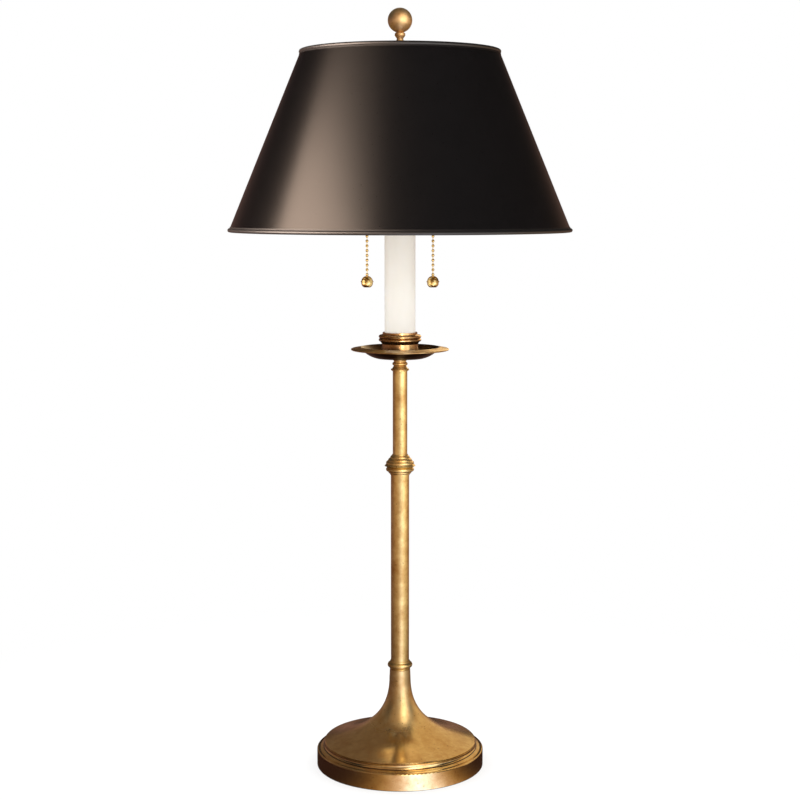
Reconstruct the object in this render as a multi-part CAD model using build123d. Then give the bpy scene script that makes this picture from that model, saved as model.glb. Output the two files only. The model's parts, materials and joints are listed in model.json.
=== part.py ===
from build123d import *
import math
import os

# Two-light table lamp with a candle stem, a cone shade and two pull-chain switches.
# Millimetres, +Z up, origin at the middle of the base's underside, +X to the right in the photo.

# Fits, and how far a cut runs past a face
clearance = 0.1
thread_gap = 0.15
running_gap = 0.05
overrun = 1.0

# Felt pad, base shell and the iron weight inside it
felt_thickness = 0.8
felt_inset = 0.4
base_radius = 92.0
base_wall = 2.4
base_height = 106.8
drum_height = 18.4
drum_round = 1.4
ledge_line_width = 2.2
ledge_line_depth = 0.5
ledge_width = 7.4
ledge_rise = 2.0
cove_width = 1.8
cove_height = 6.8
cove_depth_share = 0.75
dome_lip = 0.9
trumpet_radius = 11.3
throat_radius = 11.7
throat_drop = 9.0
throat_pull = 37.5
dome_pull_shares = (0.71, 0.15)
weight_lift = 2.0
weight_side_gap = 0.6
weight_seat_width = 8.0
nut_pocket_depth = 8.6
nut_pocket_margin = 1.6
cord_slot_width = 15.0

# Cord bushing in the back of the base wall
bushing_bore = 3.4
bushing_radius = 4.9
bushing_flange = 6.4
bushing_flange_thickness = 1.6
bushing_snap = 5.6
bushing_snap_width = 1.2
bushing_round_share = 0.75

# Threaded pipe that clamps the stem, with its nuts and washer
pipe_radius = 4.85
pipe_bore = 3.2
pipe_end = 1.2
nut_flats = 14.3
nut_thickness = 4.4
washer_radius = 15.0
washer_thickness = 1.6

# Stem, from the base up
collar_height = 9.4
collar_radius = 13.7
collar_groove_height = 1.9
collar_lip = 1.0
collar_lip_height = 1.3
tube_seat = 3.6
lower_tube_radius = 10.0
lower_tube_wall = 1.5
lower_tube_length = 208.3
knuckle_height = 22.4
knuckle_radius = 16.8
knuckle_lip = 0.7
knuckle_lower_shares = [(0, 0.06), (0.12, 0.2, 0.3), (0.42, 0.36, 0.75), (1, 0.44)]
knuckle_upper_shares = [(0.78, 0.54), (0.55, 0.68, 0.8), (0.25, 0.83, 0.5), (0.04, 0.95, 0.22), (0, 1)]
upper_tube_radius = 7.9
upper_tube_wall = 1.3
upper_tube_length = 91.4
neck_height = 13.9
neck_seat = 1.6
neck_ring_radius = 9.9
neck_bead_radius = 8.3
neck_waist_radius = 6.6
neck_top_radius = 9.2
neck_heights_shares = (0.03, 0.17, 0.42, 0.68)
neck_flare_share = 0.25

# Drip pan
pan_radius = 53.0
pan_height = 12.1
pan_thickness = 1.8
pan_rim = 1.6
pan_flat_radius = 26.0
pan_brim_width = 10.5
pan_brim_drop = 1.8
pan_curve_shares = (0.5, 0.32)

# Candle cup and candle sleeve
cup_height = 26.1
cup_floor = 4.0
cup_foot_radius = 22.5
cup_neck_radius = 19.5
cup_bead_radius = 23.0
cup_groove_radius = 21.2
cup_lip_radius = 18.8
cup_heights_shares = (0.06, 0.52, 0.62, 0.761, 0.895, 0.925)
cup_flare_share = 0.25
cup_seat = 13.8
cup_well_radius = 12.5
sleeve_radius = 16.6
sleeve_wall = 1.5
sleeve_length = 152.5
sleeve_cap_thickness = 2.0
sleeve_cap_spigot = 5.0
sleeve_cap_overhang = 0.5

# Two-light cluster
cluster_radius = 11.4
cluster_height = 28.0
cluster_flat_depth = 0.8
cluster_cavity = 7.6
cluster_floor = 9.0
cover_height = 5.5
cover_spigot = 3.0
cover_overhang = 0.6
cover_dome_share = 0.75
nipple_radius = 4.8
nipple_length = 14.4
socket_washer_radius = 7.4
socket_washer_thickness = 1.0

# Pull-chain sockets, measured along their own axis from the cap's face
cap_length = 19.0
cap_hub_radius = 7.6
cap_hub_length = 5.0
cap_shoulder = 13.0
cap_radius = 17.2
cap_wall = 0.9
cap_dome_share = 0.75
shell_length = 46.5
shell_overlap = 5.5
shell_wall = 0.7
shell_flare = 1.0
shell_flare_length = 2.0
shell_bead = 0.8
shell_bead_width = 3.0
shell_bead_share = 0.38
liner_wall = 0.8
liner_inset = 1.6
liner_gap = 0.25
interior_length = 19.5
interior_start = 12.5
interior_gap = 0.3
switch_room_width = 7.0
switch_room_length = 15.0
switch_room_margin = 3.4
screw_shell_radius = 13.3
screw_shell_wall = 0.6
screw_shell_length = 25.0
contact_length = 11.0
contact_width = 4.0
contact_thickness = 0.5
contact_rise = 2.2

# Pull chain, its guide and the switch lever
chain_offset = 35.4
bead_radius = 1.6
bead_pitch = 5.13
wire_radius = 0.5
hanging_beads = 14
lead_beads = 6
bead_gap = 0.2
guide_radius = 3.1
guide_bore = 2.3
guide_lip_radius = 4.3
guide_lip_width = 2.2
guide_reach = 23.3
guide_hole_gap = 0.3
knob_radius = 6.5
knob_height = 12.1
knob_band = 0.35
knob_band_width = 1.5
knob_foot_radius = 3.4
knob_top_radius = 1.5
knob_equator_share = 0.5
knob_bulge_shares = (0.75, 0.8)
lever_arm = 7.0
lever_tip = 2.3
pull_travel = 8.0
lever_offset = 1.52
lever_width = 5.0
lever_thickness = 0.8
lever_slot = 1.7
lever_hub_radius = 1.7
lever_pin_radius = 0.8
lever_pin_length = 11.0
lever_bead_gap = 2.4

# Bulbs
bulb_length = 88.0
bulb_radius = 23.8
bulb_cap_length = 22.0
bulb_cap_gap = 0.35
bulb_tip_radius = 4.6
bulb_tip_length = 2.0
bulb_cone_length = 3.2
bulb_neck_radius = 12.4
bulb_glass_wall = 0.8
bulb_seat = 0.4
bulb_widest_share = 0.63
bulb_head_share = 0.6

# Rod that carries the shade
rod_radius = 4.8
rod_length = 122.8
rest_radius = 8.0
rest_thickness = 2.2
rest_socket_depth = 6.0
rest_socket_wall = 1.6
stud_radius = 3.1
stud_length = 13.5

# Shade and its wire frame
shade_bottom_radius = 182.0
shade_top_radius = 104.9
shade_height = 191.4
shade_drop = 6.8
paper_thickness = 0.8
lining_thickness = 0.3
ring_wire_radius = 1.2
hem_radius = 2.1
hem_flats = 20
tape_thickness = 0.35
tape_height = 1.4
hub_radius = 11.0
hub_thickness = 1.6
hub_hole_gap = 0.25
arm_count = 3
arm_wire_radius = 1.2
arm_rise_share = 0.88
arm_bend = 5.0

# Finial
finial_ball_radius = 13.0
finial_base_height = 25.2
finial_foot_radius = 7.0
finial_foot_height = 2.4
finial_stem_radius = 5.2
finial_waist_radius = 3.3
finial_collar_radius = 5.6
finial_heights_shares = (0.22, 0.6, 0.73, 0.86, 0.95)
finial_foot_share = 0.25
finial_waist_share = 0.4
finial_seat_share = 0.5
finial_tenon_radius = 2.2
finial_tenon_length = 8.0
finial_thread_gap = 0.15
finial_float = 0.1

# Heights of the stack, from the table up
base_bottom = felt_thickness
base_top = base_bottom + base_height
drum_top = base_bottom + drum_height
weight_bottom = base_bottom + weight_lift
weight_top = drum_top - base_wall
bushing_height = (base_bottom + weight_top) / 2
pocket_top = weight_bottom + nut_pocket_depth
pipe_bottom = pocket_top - washer_thickness - nut_thickness - pipe_end
collar_top = base_top + collar_height
knuckle_bottom = collar_top + lower_tube_length
knuckle_top = knuckle_bottom + knuckle_height
neck_bottom = knuckle_top + upper_tube_length
pan_bottom = neck_bottom + neck_height
cup_bottom = pan_bottom + pan_thickness
cup_top = cup_bottom + cup_height
sleeve_bottom = cup_top - cup_seat
sleeve_top = sleeve_bottom + sleeve_length
cluster_bottom = sleeve_top + sleeve_cap_thickness
cluster_top = cluster_bottom + cluster_height
socket_axis = cluster_bottom + cluster_height / 2
cover_top = cluster_top + cover_height
pipe_top = cluster_bottom + cluster_floor
rod_bottom = cluster_top - cover_spigot
rod_top = rod_bottom + rod_length
hub_bottom = rod_top + rest_thickness
hub_top = hub_bottom + hub_thickness
shade_top = hub_top + shade_drop
shade_bottom = shade_top - shade_height
finial_bottom = hub_top + finial_float

# Places along a socket, from its cap's face
cap_face = cluster_radius - cluster_flat_depth + socket_washer_thickness
chain_place = chain_offset - cap_face
shell_start = cap_length - shell_overlap
shell_end = shell_start + shell_length
shell_radius = cap_radius - cap_wall - clearance
liner_radius = shell_radius - shell_wall - liner_gap
interior_radius = liner_radius - liner_wall - interior_gap
interior_end = interior_start + interior_length
bulb_start = interior_end + contact_rise + contact_thickness + bulb_seat
lever_place = chain_place - lever_arm
lever_swing = math.atan(pull_travel / 2 / lever_arm)
lead_start = lever_offset - pull_travel / 2 - lever_bead_gap
pivot_reach = lead_start + bead_pitch * lead_beads


# Shapes that stand on their place instead of being centred on it
standing = (Align.CENTER, Align.CENTER, Align.MIN)


def ring_face(edges):
    """A flat section, drawn as radius and height, set up on the lamp's own axis."""
    return Plane.XZ * make_face([edge for line in edges for edge in line.edges()])


def turned(steps, bore=0.0):
    """A turned piece. Its steps climb the outside and a straight bore runs up the middle.
    A step is a radius and a height; a third number is the radius that a rounded
    stretch, coming from the step before, swells or sinks to halfway up."""
    edges = []
    for start, end in zip(steps, steps[1:]):
        if len(end) == 3:
            crest = (end[2], (start[1] + end[1]) / 2)
            edges.append(ThreePointArc(start[:2], crest, end[:2]))
        else:
            edges.append(Line(start[:2], end[:2]))
    first = steps[0][:2]
    last = steps[-1][:2]
    corners = [last, (bore, last[1]), (bore, first[1]), first]
    for start, end in zip(corners, corners[1:]):
        if start != end:
            edges.append(Line(start, end))
    return revolve(ring_face(edges), Axis.Z)


def peg(radius, bottom, top):
    """A plain round rod between two heights."""
    return Pos(0, 0, bottom) * Cylinder(radius, top - bottom, align=standing)


def pipe(radius, bore, bottom, top):
    """A plain tube between two heights."""
    return peg(radius, bottom, top) - peg(bore, bottom - overrun, top + overrun)


def hex_nut(bottom):
    """A nut on the threaded pipe."""
    blank = extrude(RegularPolygon(nut_flats / 2, 6, major_radius=False), nut_thickness)
    hole = peg(pipe_radius + thread_gap, -overrun, nut_thickness + overrun)
    return Pos(0, 0, bottom) * (blank - hole)


def between(low, high, share):
    return low + (high - low) * share


# Base


def felt_pad():
    return peg(base_radius - felt_inset, 0, felt_thickness)


def base_shell():
    """Spun drum, ledge, cove and dome that runs up into the trumpet, open underneath."""
    ledge_radius = base_radius - ledge_width
    ledge_height = drum_top + ledge_rise
    line_radius = base_radius - drum_round - ledge_line_width
    dome_radius = ledge_radius - cove_width
    dome_height = ledge_height + cove_height
    throat_height = base_top - throat_drop
    run = dome_radius - throat_radius
    across, up = dome_pull_shares
    cove_middle = (
        ledge_radius - cove_width * cove_depth_share,
        between(ledge_height, dome_height, 1 - cove_depth_share),
    )
    lip = (dome_radius + dome_lip, dome_height - dome_lip)
    dome_pull = (dome_radius - run * across, dome_height + run * up)
    throat_start = (throat_radius, throat_height - throat_pull)
    outside = [
        Line((base_radius, base_bottom), (base_radius, drum_top - drum_round)),
        CenterArc((base_radius - drum_round, drum_top - drum_round), drum_round, 0, 90),
        Line((base_radius - drum_round, drum_top), (line_radius, drum_top)),
        Line((line_radius, drum_top), (line_radius, drum_top + ledge_line_depth)),
        Line((line_radius, drum_top + ledge_line_depth), (ledge_radius, ledge_height)),
        ThreePointArc((ledge_radius, ledge_height), cove_middle, lip),
        Line(lip, (dome_radius, dome_height)),
        Bezier((dome_radius, dome_height), dome_pull, throat_start, (throat_radius, throat_height)),
        Line((throat_radius, throat_height), (trumpet_radius, base_top)),
    ]
    inner_dome = dome_radius - base_wall
    inner_height = dome_height - base_wall
    inner_throat = throat_radius - base_wall
    seat_radius = base_radius - weight_seat_width - base_wall
    inside = [
        Line((trumpet_radius, base_top), (trumpet_radius - base_wall, base_top)),
        Line((trumpet_radius - base_wall, base_top), (inner_throat, throat_height)),
        Bezier(
            (inner_throat, throat_height),
            (inner_throat, throat_height - throat_pull - base_wall),
            (dome_pull[0] - base_wall, dome_pull[1] - base_wall),
            (seat_radius, inner_height),
        ),
        Line((seat_radius, inner_height), (seat_radius, weight_top)),
        Line((seat_radius, weight_top), (base_radius - base_wall, weight_top)),
        Line((base_radius - base_wall, weight_top), (base_radius - base_wall, base_bottom)),
        Line((base_radius - base_wall, base_bottom), (base_radius, base_bottom)),
    ]
    shell = revolve(ring_face(outside + inside), Axis.Z)
    hole = Cylinder(bushing_radius + clearance, base_wall + 2 * overrun)
    return shell - Pos(0, base_radius - base_wall / 2, bushing_height) * Rot(90, 0, 0) * hole


def base_weight():
    """Cast ring that fills the drum, with a pocket for the nut and a slot for the cord."""
    rim = base_radius - base_wall - weight_side_gap
    body = pipe(rim, pipe_radius + thread_gap, weight_bottom, weight_top)
    body -= peg(washer_radius + nut_pocket_margin, weight_bottom - overrun, pocket_top)
    slot = Box(cord_slot_width, rim + overrun, weight_top, align=(Align.CENTER, Align.MIN, Align.MIN))
    return body - Pos(0, washer_radius, weight_bottom - overrun) * slot


def cord_bushing():
    """Snap bushing that leads a supply cord through the back of the wall."""
    inside = base_radius - base_wall
    curve = inside - math.sqrt(inside**2 - bushing_snap**2)
    wall_inside = -base_wall - curve - clearance
    snap_end = wall_inside - bushing_snap_width
    rounding = between(bushing_radius, bushing_flange, bushing_round_share)
    steps = [
        (bushing_radius, snap_end),
        (bushing_snap, wall_inside),
        (bushing_radius, wall_inside),
        (bushing_radius, 0),
        (bushing_flange, 0),
        (bushing_radius, bushing_flange_thickness, rounding),
    ]
    return Pos(0, base_radius, bushing_height) * Rot(-90, 0, 0) * turned(steps, bushing_bore)


def bottom_washer():
    return pipe(washer_radius, pipe_radius + thread_gap, pocket_top - washer_thickness, pocket_top)


def bottom_nut():
    return hex_nut(pocket_top - washer_thickness - nut_thickness)


def threaded_pipe():
    return pipe(pipe_radius, pipe_bore, pipe_bottom, pipe_top)


# Stem


def lower_collar():
    """Ring over the trumpet, with a groove under it and a lip round the tube."""
    root = lower_tube_radius + collar_lip
    groove_top = base_top + collar_groove_height
    ring_top = collar_top - collar_lip_height
    steps = [
        (root, base_top),
        (root, groove_top, lower_tube_radius),
        (root, ring_top, collar_radius),
        (root, collar_top),
    ]
    body = turned(steps, pipe_radius + thread_gap)
    return body - peg(lower_tube_radius + clearance, collar_top - tube_seat, collar_top + overrun)


def lower_tube():
    bore = lower_tube_radius - lower_tube_wall
    return pipe(lower_tube_radius, bore, collar_top - tube_seat, knuckle_bottom + tube_seat)


def knuckle():
    """Stepped double cone between the two tubes: rings that swell to the widest edge and shrink again."""
    low = lower_tube_radius + knuckle_lip
    high = upper_tube_radius + knuckle_lip
    steps = [(low, knuckle_bottom)]
    for root, shares in ((low, knuckle_lower_shares), (high, knuckle_upper_shares)):
        for radius, height, *crest in shares:
            level = knuckle_bottom + knuckle_height * height
            swell = [between(root, knuckle_radius, share) for share in crest]
            steps.append((between(root, knuckle_radius, radius), level, *swell))
    body = turned(steps, pipe_radius + thread_gap)
    body -= peg(lower_tube_radius + clearance, knuckle_bottom - overrun, knuckle_bottom + tube_seat)
    return body - peg(upper_tube_radius + clearance, knuckle_top - tube_seat, knuckle_top + overrun)


def upper_tube():
    bore = upper_tube_radius - upper_tube_wall
    return pipe(upper_tube_radius, bore, knuckle_top - tube_seat, neck_bottom + neck_seat)


def pan_neck():
    """Turning under the pan: a ring over the tube, a waist, a bead and a flare up to the pan."""
    lip = upper_tube_radius + knuckle_lip
    heights = [neck_bottom + neck_height * share for share in neck_heights_shares]
    lip_top, ring_top, waist_top, bead_top = heights
    steps = [
        (lip, neck_bottom),
        (lip, lip_top),
        (lip, ring_top, neck_ring_radius),
        (neck_waist_radius, waist_top),
        (neck_waist_radius, bead_top, neck_bead_radius),
        (neck_top_radius, pan_bottom, between(neck_waist_radius, neck_top_radius, neck_flare_share)),
    ]
    body = turned(steps, pipe_radius + thread_gap)
    return body - peg(upper_tube_radius + clearance, neck_bottom - overrun, neck_bottom + neck_seat)


def drip_pan():
    """Shallow spun dish whose brim falls a little towards its rounded edge."""
    brim_radius = pan_radius - pan_brim_width
    crest = pan_bottom + pan_height
    edge_top = crest - pan_brim_drop
    edge = pan_rim / 2
    across, up = pan_curve_shares
    bend = between(pan_flat_radius, brim_radius, across)
    under_bend = (bend, between(pan_bottom, crest - pan_rim, up))
    top_bend = (bend, between(cup_bottom, crest, up))
    edge_middle = (pan_radius, edge_top - edge)
    bore = pipe_radius + thread_gap
    edges = [
        Line((bore, pan_bottom), (pan_flat_radius, pan_bottom)),
        ThreePointArc((pan_flat_radius, pan_bottom), under_bend, (brim_radius, crest - pan_rim)),
        Line((brim_radius, crest - pan_rim), (pan_radius - edge, edge_top - pan_rim)),
        ThreePointArc((pan_radius - edge, edge_top - pan_rim), edge_middle, (pan_radius - edge, edge_top)),
        Line((pan_radius - edge, edge_top), (brim_radius, crest)),
        ThreePointArc((brim_radius, crest), top_bend, (pan_flat_radius, cup_bottom)),
        Line((pan_flat_radius, cup_bottom), (bore, cup_bottom)),
        Line((bore, cup_bottom), (bore, pan_bottom)),
    ]
    return revolve(ring_face(edges), Axis.Z)


def candle_cup():
    """Turned cup with a flared foot, a neck, two beads and a lip round the candle sleeve."""
    heights = [cup_bottom + cup_height * share for share in cup_heights_shares]
    foot, neck, bead, groove, shoulder, lip = heights
    steps = [
        (cup_foot_radius, cup_bottom),
        (cup_foot_radius, foot),
        (cup_neck_radius, neck, between(cup_neck_radius, cup_foot_radius, cup_flare_share)),
        (cup_groove_radius, bead),
        (cup_groove_radius, groove, cup_bead_radius),
        (cup_groove_radius, shoulder, cup_bead_radius),
        (cup_lip_radius, lip),
        (cup_lip_radius, cup_top),
    ]
    body = turned(steps, pipe_radius + thread_gap)
    body -= peg(sleeve_radius + clearance, sleeve_bottom, cup_top + overrun)
    return body - peg(cup_well_radius, cup_bottom + cup_floor, sleeve_bottom + overrun)


def cup_nut():
    return hex_nut(cup_bottom + cup_floor)


def candle_sleeve():
    return pipe(sleeve_radius, sleeve_radius - sleeve_wall, sleeve_bottom, sleeve_top)


def sleeve_cap():
    """Cap that keeps the sleeve centred on the pipe and carries the cluster."""
    plug = sleeve_radius - sleeve_wall - clearance
    steps = [
        (plug, sleeve_top - sleeve_cap_spigot),
        (plug, sleeve_top),
        (sleeve_radius + sleeve_cap_overhang, sleeve_top),
        (sleeve_radius + sleeve_cap_overhang, cluster_bottom),
    ]
    return turned(steps, pipe_radius + thread_gap)


# Cluster


def cluster_body():
    """Round body with a flat on each side for a socket, and a wiring room in the top."""
    body = pipe(cluster_radius, pipe_radius + thread_gap, cluster_bottom, cluster_top)
    body -= peg(cluster_cavity, pipe_top, cluster_top + overrun)
    flat = cluster_radius - cluster_flat_depth
    cutter = Box(2 * cluster_radius, 2 * cluster_radius, 2 * cluster_height)
    for side in (-1, 1):
        body -= Pos(side * (flat + cluster_radius), 0, socket_axis) * cutter
    cross_hole = Cylinder(nipple_radius + thread_gap, 2 * cluster_radius)
    return body - Pos(0, 0, socket_axis) * Rot(0, 90, 0) * cross_hole


def cluster_cover():
    """Domed cover that holds the rod over the wiring room."""
    spigot = cluster_cavity - clearance
    rim = cluster_radius + cover_overhang
    crown = rod_radius + cover_spigot
    steps = [
        (spigot, rod_bottom),
        (spigot, cluster_top),
        (rim, cluster_top),
        (crown, cover_top, between(crown, rim, cover_dome_share)),
    ]
    return turned(steps, rod_radius + clearance)


# Sockets. Each is drawn along +Z from its cap's face, with its chain towards +X


def cap():
    hub_bore = nipple_radius + thread_gap
    inner = cap_radius - cap_wall
    outside = [
        (cap_hub_radius, 0),
        (cap_hub_radius, cap_hub_length),
        (cap_radius, cap_shoulder, between(cap_hub_radius, cap_radius, cap_dome_share)),
        (cap_radius, cap_length),
    ]
    room_start = cap_hub_length + cap_wall
    room = [
        (cap_hub_radius, room_start),
        (inner, cap_shoulder, between(cap_hub_radius, inner, cap_dome_share)),
        (inner, cap_length + overrun),
    ]
    return turned(outside, hub_bore) - turned(room)


def guide_hole(reach):
    """Cut for the chain guide, from the socket's axis out to a reach."""
    hole = Cylinder(guide_radius + guide_hole_gap, reach, align=standing)
    return Pos(0, 0, chain_place) * Rot(0, 90, 0) * hole


def shell():
    """Brass tube with a rolled bead and a flared mouth, pierced for the chain guide."""
    bore = shell_radius - shell_wall
    bead_start = shell_start + shell_length * shell_bead_share
    mouth = shell_end - shell_flare_length
    outside = [
        (shell_radius, shell_start),
        (shell_radius, bead_start),
        (shell_radius, bead_start + shell_bead_width, shell_radius + shell_bead),
        (shell_radius, mouth),
        (shell_radius + shell_flare, shell_end),
    ]
    flare = [(bore, mouth), (bore + shell_flare, shell_end), (bore + shell_flare, shell_end + overrun)]
    return turned(outside, bore) - turned(flare) - guide_hole(cap_radius + overrun)


def liner():
    tube = pipe(liner_radius, liner_radius - liner_wall, cap_length - liner_inset, shell_end - liner_inset)
    return tube - guide_hole(cap_radius + overrun)


def interior():
    """Moulded switch body with a room for the lever and the chain's end."""
    body = peg(interior_radius, interior_start, interior_end)
    room_end = lever_place + lever_arm + switch_room_margin
    room_start = interior_start - overrun
    room = Box(switch_room_length, switch_room_width, room_end - room_start, align=standing)
    body -= Pos(lever_offset - bead_radius, 0, room_start) * room
    pin_hole = Cylinder(lever_pin_radius + running_gap, lever_pin_length + clearance)
    body -= Pos(lever_offset, 0, lever_place) * Rot(90, 0, 0) * pin_hole
    lead_hole = Cylinder(guide_bore, interior_radius, align=standing)
    return body - Pos(lever_offset, 0, chain_place) * Rot(0, 90, 0) * lead_hole


def screw_shell():
    outside = screw_shell_radius + screw_shell_wall
    return pipe(outside, screw_shell_radius, interior_end, interior_end + screw_shell_length)


def contact():
    """Bent spring strip that meets the bulb's tip."""
    tail = -contact_length / 2
    rise = (0, interior_end + contact_rise)
    path = [
        (tail, interior_end),
        (tail / 2, interior_end),
        rise,
        (contact_length / 2, interior_end + contact_rise / 2),
    ]
    back = [(across, height + contact_thickness) for across, height in reversed(path)]
    section = Plane.XZ * make_face(Polyline(*path, *back, close=True).edges())
    return extrude(section, contact_width / 2, both=True)


def chain_guide():
    """Bell-mouthed tube that leads the chain out of the socket."""
    steps = [
        (guide_radius, interior_radius),
        (guide_radius, guide_reach - guide_lip_width),
        (guide_lip_radius, guide_reach, guide_radius),
    ]
    mouth = [
        (guide_bore, guide_reach - guide_lip_width),
        (guide_radius, guide_reach),
        (guide_radius, guide_reach + overrun),
    ]
    return Pos(0, 0, chain_place) * Rot(0, 90, 0) * (turned(steps, guide_bore) - turned(mouth))


def lever():
    """Forked lever that the chain's last bead pulls round."""
    reach = lever_arm / math.cos(lever_swing) + lever_tip
    hub = Rot(90, 0, 0) * Cylinder(lever_hub_radius, lever_width)
    plate = Box(lever_thickness, lever_width, reach, align=standing)
    fork = Box(lever_thickness + overrun, lever_slot, reach, align=standing)
    arm = hub + plate - Pos(0, 0, lever_arm - lever_tip) * fork
    arm -= Rot(90, 0, 0) * Cylinder(lever_pin_radius + running_gap, lever_width + overrun)
    return Pos(lever_offset, 0, lever_place) * Rot(0, -math.degrees(lever_swing), 0) * arm


def lever_pin():
    return Pos(lever_offset, 0, lever_place) * Rot(90, 0, 0) * Cylinder(lever_pin_radius, lever_pin_length)


def beads(places):
    """Ball steps for a bead chain that runs up through the given places."""
    half = math.sqrt(bead_radius**2 - wire_radius**2)
    steps = []
    for place in places:
        steps.append((wire_radius, place - half))
        steps.append((wire_radius, place + half, bead_radius))
    return steps


def chain_lead():
    """Beads from the lever down through the guide, ending just above the first free bead."""
    places = [lead_start + bead_pitch * count for count in range(lead_beads)]
    steps = beads(places) + [(wire_radius, pivot_reach - bead_radius - bead_gap)]
    return Pos(0, 0, chain_place) * Rot(0, 90, 0) * turned(steps)


def pull_chain():
    """Free beads under the guide, down to the wire's end in the knob."""
    places = [pivot_reach + bead_pitch * count for count in range(hanging_beads)]
    steps = beads(places) + [(wire_radius, places[-1] + bead_radius + knob_top_radius)]
    return Pos(0, 0, chain_place) * Rot(0, 90, 0) * turned(steps)


def pull_knob():
    """Ball with a raised band round its middle and a flat foot."""
    top = pivot_reach + bead_pitch * (hanging_beads - 1) + bead_radius
    equator = top + knob_height * knob_equator_share
    foot = top + knob_height
    band = knob_radius - knob_band
    upper_share, lower_share = knob_bulge_shares
    bulge = between(knob_top_radius, knob_radius, upper_share)
    lower_bulge = between(knob_foot_radius, knob_radius, lower_share)
    steps = [
        (knob_top_radius, top),
        (band, equator - knob_band_width / 2, bulge),
        (knob_radius, equator - knob_band_width / 2),
        (knob_radius, equator + knob_band_width / 2, knob_radius + knob_band),
        (band, equator + knob_band_width / 2),
        (knob_foot_radius, foot, lower_bulge),
    ]
    wire_end = top + knob_top_radius + running_gap
    body = turned(steps) - peg(wire_radius + running_gap, top - overrun, wire_end)
    return Pos(0, 0, chain_place) * Rot(0, 90, 0) * body


def bulb_cap():
    """Screw cap with its tip, plain where the thread runs."""
    radius = screw_shell_radius - bulb_cap_gap
    cone = bulb_start + bulb_tip_length
    side = cone + bulb_cone_length
    steps = [
        (bulb_tip_radius / 2, bulb_start),
        (bulb_tip_radius, cone),
        (radius, side),
        (radius, bulb_start + bulb_cap_length),
    ]
    return turned(steps)


def bulb_section(inset, floor):
    """Half section of the bulb, drawn in by an inset from its outside."""
    end = bulb_start + bulb_length
    neck = bulb_start + bulb_cap_length
    waist = neck + bulb_neck_radius / 2
    widest = between(neck, end, bulb_widest_share)
    middle = (waist + widest) / 2
    neck_radius = bulb_neck_radius - inset
    radius = bulb_radius - inset
    tip = end - inset
    edges = [
        Line((0, floor), (neck_radius, floor)),
        Line((neck_radius, floor), (neck_radius, waist)),
        Bezier((neck_radius, waist), (neck_radius, middle), (radius, middle), (radius, widest)),
        Bezier((radius, widest), (radius, (widest + end) / 2), (radius * bulb_head_share, tip), (0, tip)),
        Line((0, tip), (0, floor)),
    ]
    return revolve(ring_face(edges), Axis.Z)


def bulb_glass():
    """Frosted glass that swells from the cap to a round head, blown hollow."""
    neck = bulb_start + bulb_cap_length
    return bulb_section(0, neck) - bulb_section(bulb_glass_wall, neck + bulb_glass_wall)


def nipple():
    return pipe(nipple_radius, pipe_bore, cap_hub_length - nipple_length, cap_hub_length)


def socket_washer():
    return pipe(socket_washer_radius, nipple_radius + thread_gap, -socket_washer_thickness, 0)


# Shade carrier


def shade_rod():
    return pipe(rod_radius, pipe_bore, rod_bottom, rod_top)


def shade_rest():
    """Socket on the rod's end with a plate for the shade's hub and a stud for the finial."""
    sleeve = rod_radius + rest_socket_wall
    floor = rod_top - rest_socket_depth
    steps = [
        (sleeve, floor),
        (sleeve, rod_top - rest_socket_wall),
        (rest_radius, rod_top),
        (rest_radius, hub_bottom),
        (stud_radius, hub_bottom),
        (stud_radius, hub_bottom + stud_length),
    ]
    return turned(steps) - peg(rod_radius + clearance, floor - overrun, rod_top)


# Shade. Its section runs along the cone, from the lower ring's middle to the upper one's

slant_across = shade_bottom_radius - shade_top_radius
slant_length = math.hypot(slant_across, shade_height - 2 * hem_radius)
lean = math.degrees(math.atan2(shade_height - 2 * hem_radius, -slant_across))


def on_slant(flat):
    """Stands a flat sketch, drawn with +X up the slant and -Y outwards, on the shade's section."""
    return Plane.XZ * Pos(shade_bottom_radius, shade_bottom + hem_radius) * Rot(0, 0, lean) * flat


def strip(start, end, thickness, middle=0.0):
    return Pos((start + end) / 2, middle) * Rectangle(end - start, thickness)


def shade_paper():
    edge = ring_wire_radius + clearance
    return revolve(on_slant(strip(edge, slant_length - edge, paper_thickness)), Axis.Z)


def shade_lining():
    edge = tape_height + hem_radius
    middle = (paper_thickness + lining_thickness) / 2 + clearance
    return revolve(on_slant(strip(edge, slant_length - edge, lining_thickness, middle)), Axis.Z)


def folded(radius, half, far, side):
    """One face of the folded tape: down to the ring, round it in narrow flats and back."""
    first = math.asin(half / radius)
    step = 2 * (math.pi - first) / hem_flats
    turns = [first + step * count for count in range(hem_flats + 1)]
    bend = [(side * radius * math.cos(turn), radius * math.sin(turn)) for turn in turns]
    return [(far, half), *bend, (far, -half)]


def hem_tape(place, side):
    """Tape folded round a ring and up both faces of the paper."""
    inner = paper_thickness / 2 + running_gap
    far = side * (tape_height + hem_radius)
    outside = folded(hem_radius, inner + tape_thickness, far, side)
    inside = folded(ring_wire_radius + clearance, inner, far, side)
    section = make_face(Polyline(*outside, *reversed(inside), close=True))
    return revolve(on_slant(Pos(place, 0) * section), Axis.Z)


def ring_wire(place):
    return revolve(on_slant(Pos(place, 0) * Circle(ring_wire_radius)), Axis.Z)


def frame_arms(radius):
    """Three arms that leave the hub level and rise to the upper ring."""
    level = hub_bottom + hub_thickness / 2
    ring_height = shade_top - hem_radius
    bend = shade_top_radius * arm_rise_share
    corners = [(hub_radius / 2, 0, level), (bend, 0, level), (shade_top_radius, 0, ring_height)]
    path = FilletPolyline(*corners, radius=arm_bend)
    start = Plane(origin=path @ 0, z_dir=path % 0)
    arm = sweep(start * Circle(radius), path)
    return [Rot(0, 0, 90 + 360 / arm_count * count) * arm for count in range(arm_count)]


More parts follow.
